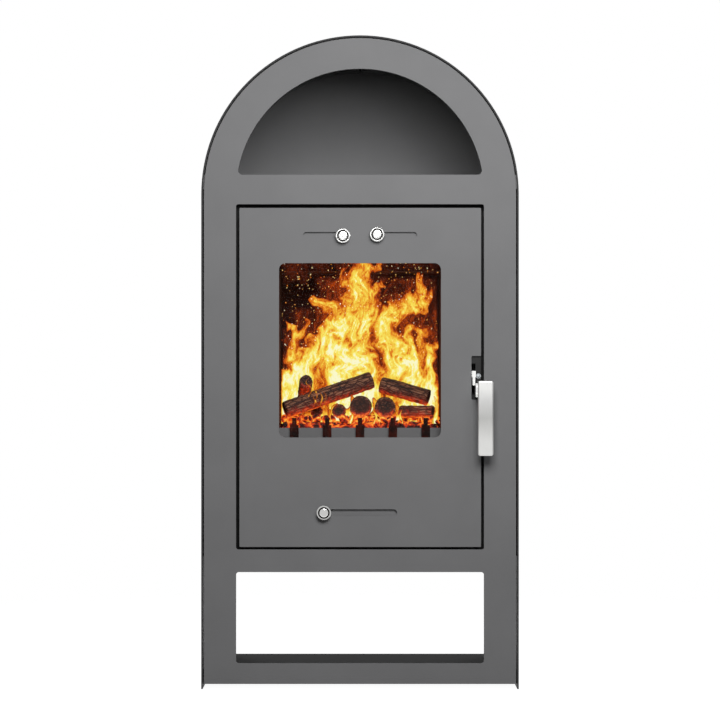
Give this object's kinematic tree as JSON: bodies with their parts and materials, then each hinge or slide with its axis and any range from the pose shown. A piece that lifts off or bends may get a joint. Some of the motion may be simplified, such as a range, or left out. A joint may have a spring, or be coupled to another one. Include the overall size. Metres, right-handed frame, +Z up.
{
  "type": "freestanding wood stove",
  "caption": "Freestanding steel wood stove with an arched casing, an open niche on top, a glazed door with air sliders and a lever handle, and a log store below.",
  "frame": {"origin": "on the floor, in the middle of the whole object's width and depth", "axes": "+Z up, -Y towards the front (the door's side), +X to the right as seen from the front"},
  "size_m": [0.44, 0.422, 0.906],
  "materials": {
    "grey_paint": "matt grey heat-resistant paint",
    "air_plate_paint": "matt grey heat-resistant paint",
    "firebox_black": "matt black heat-resistant paint",
    "zinc_steel": "zinc-plated steel",
    "satin_steel": "satin stainless steel",
    "cast_iron": "as-cast iron, scorched",
    "fire_brick": "pressed vermiculite board, sooted",
    "ceramic_glass": "clear glass-ceramic",
    "glass_fibre": "black knitted glass-fibre rope and tape",
    "charred_wood": "charred bark and split wood",
    "embers": "glowing embers and ash"
  },
  "bodies": {
    "root": {"casing_side_left": "grey_paint", "casing_side_right": "grey_paint", "casing_arch": "grey_paint", "front_plate": "grey_paint", "niche_floor": "grey_paint", "log_store_ceiling": "grey_paint", "log_store_floor": "grey_paint", "rear_rim": "grey_paint", "back_panel": "grey_paint", "hearth_sill": "grey_paint", "firebox_front_frame": "firebox_black", "firebox_side_left": "firebox_black", "firebox_side_right": "firebox_black", "firebox_back": "firebox_black", "firebox_top": "firebox_black", "firebox_floor": "firebox_black", "hearth_shelf": "firebox_black", "flue_spigot": "firebox_black", "hinge_bracket_upper": "firebox_black", "hinge_bracket_lower": "firebox_black", "back_panel_screws": "zinc_steel", "flue_spigot_bolts": "zinc_steel", "hinge_pin_upper": "zinc_steel", "hinge_pin_lower": "zinc_steel", "ash_pan": "zinc_steel", "ash_pan_handle": "zinc_steel", "grate": "cast_iron", "log_guard": "cast_iron", "liner_left": "fire_brick", "liner_right": "fire_brick", "liner_back": "fire_brick", "baffle": "fire_brick", "firewood": "charred_wood", "ember_bed": "embers"},
    "door": {"door_panel": "grey_paint", "door_inner_frame": "firebox_black", "door_glass": "ceramic_glass", "glass_gasket": "glass_fibre", "glass_clips": "zinc_steel", "door_nuts": "zinc_steel", "door_rope_seal": "glass_fibre", "hinge_knuckle_upper": "firebox_black", "hinge_knuckle_lower": "firebox_black", "latch_bracket": "firebox_black", "latch_pivot_pin": "satin_steel", "latch_keeper_screw": "satin_steel", "top_air_guides": "firebox_black", "bottom_air_guides": "firebox_black"},
    "handle": {"latch_lever": "satin_steel", "handle_grip": "satin_steel", "grip_rivets": "satin_steel"},
    "air_slider_left": {"air_plate_left": "air_plate_paint", "knob_cup_left": "satin_steel", "knob_screw_left": "satin_steel"},
    "air_slider_right": {"air_plate_right": "air_plate_paint", "knob_cup_right": "satin_steel", "knob_screw_right": "satin_steel"},
    "air_slider_bottom": {"air_plate_bottom": "air_plate_paint", "knob_cup_bottom": "satin_steel", "knob_screw_bottom": "satin_steel"}
  },
  "joints": [
    {"name": "door_swing", "type": "hinge", "parent": "root", "child": "door", "pos_m": [-0.1551, -0.168, 0.43195], "axis": [0, 0, -1], "range_deg": [0, 110]},
    {"name": "handle_turn", "type": "hinge", "parent": "door", "child": "handle", "pos_m": [0.15755, -0.165, 0.434], "axis": [-1, 0, 0], "range_deg": [-6, 40]},
    {"name": "left_air_slide", "type": "slide", "parent": "door", "child": "air_slider_left", "axis": [-1, 0, 0], "range_m": [0, 0.05]},
    {"name": "right_air_slide", "type": "slide", "parent": "door", "child": "air_slider_right", "axis": [1, 0, 0], "range_m": [0, 0.05]},
    {"name": "bottom_air_slide", "type": "slide", "parent": "door", "child": "air_slider_bottom", "axis": [1, 0, 0], "range_m": [0, 0.096]}
  ]
}
